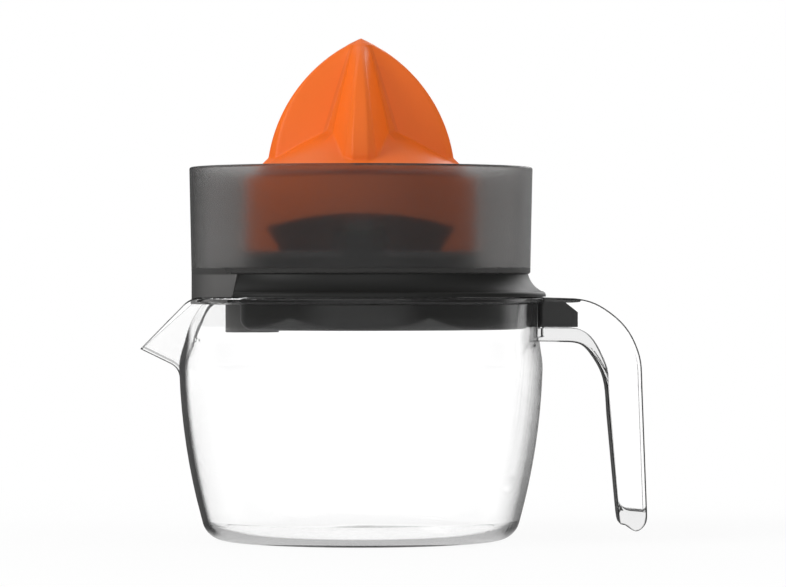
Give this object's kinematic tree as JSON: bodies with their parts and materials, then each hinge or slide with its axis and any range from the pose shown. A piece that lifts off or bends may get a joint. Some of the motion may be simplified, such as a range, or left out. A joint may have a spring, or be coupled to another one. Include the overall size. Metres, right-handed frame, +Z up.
{
  "type": "citrus press juicer",
  "caption": "Electric citrus press: clear spouted jug with a hooked handle, motor head on its rim, smoked juice bowl, strainer and a finned cone that turns when pressed.",
  "frame": {"origin": "centre of the jug's flat base, on the axis that the jug, the motor head and the cone share", "axes": "+Z up along that axis, -X toward the spout, +X toward the handle, -Y toward the side the picture shows"},
  "size_m": [0.2021, 0.1478, 0.2002],
  "materials": {
    "clear_plastic": "clear moulded plastic, polished",
    "smoked_plastic": "smoked see-through plastic, polished",
    "dark_plastic": "dark grey moulded plastic, satin",
    "orange_plastic": "orange moulded plastic, semi-gloss",
    "steel": "drawn and turned steel",
    "copper": "enamelled copper winding",
    "bronze": "sintered bronze",
    "magnet": "ferrite magnet",
    "nylon": "natural nylon",
    "black_plastic": "black switch plastic",
    "rubber": "soft black rubber"
  },
  "bodies": {
    "jug": {"jug": "clear_plastic"},
    "head": {"base_tray": "dark_plastic", "drive_cover": "dark_plastic", "cord_grommet": "rubber", "terminal_block": "nylon", "motor_pad": "rubber", "motor_can": "steel", "motor_plate": "steel", "coil_bobbin": "nylon", "coil_winding": "copper", "pole_ring": "steel", "lower_bearing": "bronze", "upper_bearing": "bronze", "motor_screws": "steel", "thrust_washer": "nylon", "shaft_guide": "nylon", "guide_screws": "steel", "return_spring": "steel", "switch_body": "black_plastic", "roof_bush": "bronze", "shaft_seal": "rubber", "housing_screws": "steel"},
    "rotor": {"rotor_shaft": "steel", "rotor_hub": "nylon", "rotor_magnet": "magnet", "rotor_pinion": "nylon"},
    "gear": {"output_gear": "nylon"},
    "shaft": {"drive_shaft": "steel"},
    "plunger": {"switch_plunger": "nylon"},
    "bowl": {"juice_bowl": "smoked_plastic"},
    "strainer": {"strainer": "orange_plastic"},
    "bush": {"spindle_bush": "nylon"},
    "spindle": {"spindle": "steel", "spindle_clip": "steel"},
    "cone": {"reamer_cone": "orange_plastic"}
  },
  "joints": [
    {"name": "head_lift", "type": "slide", "parent": "jug", "child": "head", "axis": [0, 0, 1], "range_m": [0, 0.06]},
    {"name": "bowl_lift", "type": "slide", "parent": "head", "child": "bowl", "axis": [0, 0, 1], "range_m": [0, 0.06]},
    {"name": "strainer_lift", "type": "slide", "parent": "bowl", "child": "strainer", "axis": [0, 0, 1], "range_m": [0, 0.06]},
    {"name": "cone_press", "type": "slide", "parent": "strainer", "child": "bush", "axis": [0, 0, -1], "range_m": [0, 0.001], "stiffness_N_per_m": 3000, "springref_m": -0.002},
    {"name": "cone_spin", "type": "hinge", "parent": "bush", "child": "spindle", "pos_m": [0, 0, 0.133], "axis": [0, 0, 1], "continuous": true},
    {"name": "cone_lift", "type": "slide", "parent": "spindle", "child": "cone", "axis": [0, 0, 1], "range_m": [0, 0.05]},
    {"name": "gear_spin", "type": "hinge", "parent": "head", "child": "gear", "pos_m": [0, 0, 0.106], "axis": [0, 0, 1], "continuous": true},
    {"name": "shaft_press", "type": "slide", "parent": "gear", "child": "shaft", "axis": [0, 0, -1], "range_m": [0, 0.001], "deforming": ["return_spring"]},
    {"name": "plunger_press", "type": "slide", "parent": "head", "child": "plunger", "axis": [0, 0, -1], "range_m": [0, 0.001]},
    {"name": "rotor_spin", "type": "hinge", "parent": "head", "child": "rotor", "pos_m": [0.032, 0, 0.095], "axis": [0, 0, 1], "continuous": true}
  ],
  "couplings": [
    {"joint": "gear_spin", "follows": "cone_spin", "ratio": 1},
    {"joint": "rotor_spin", "follows": "cone_spin", "ratio": -4.3333},
    {"joint": "shaft_press", "follows": "cone_press", "ratio": 1},
    {"joint": "plunger_press", "follows": "cone_press", "ratio": 1}
  ]
}
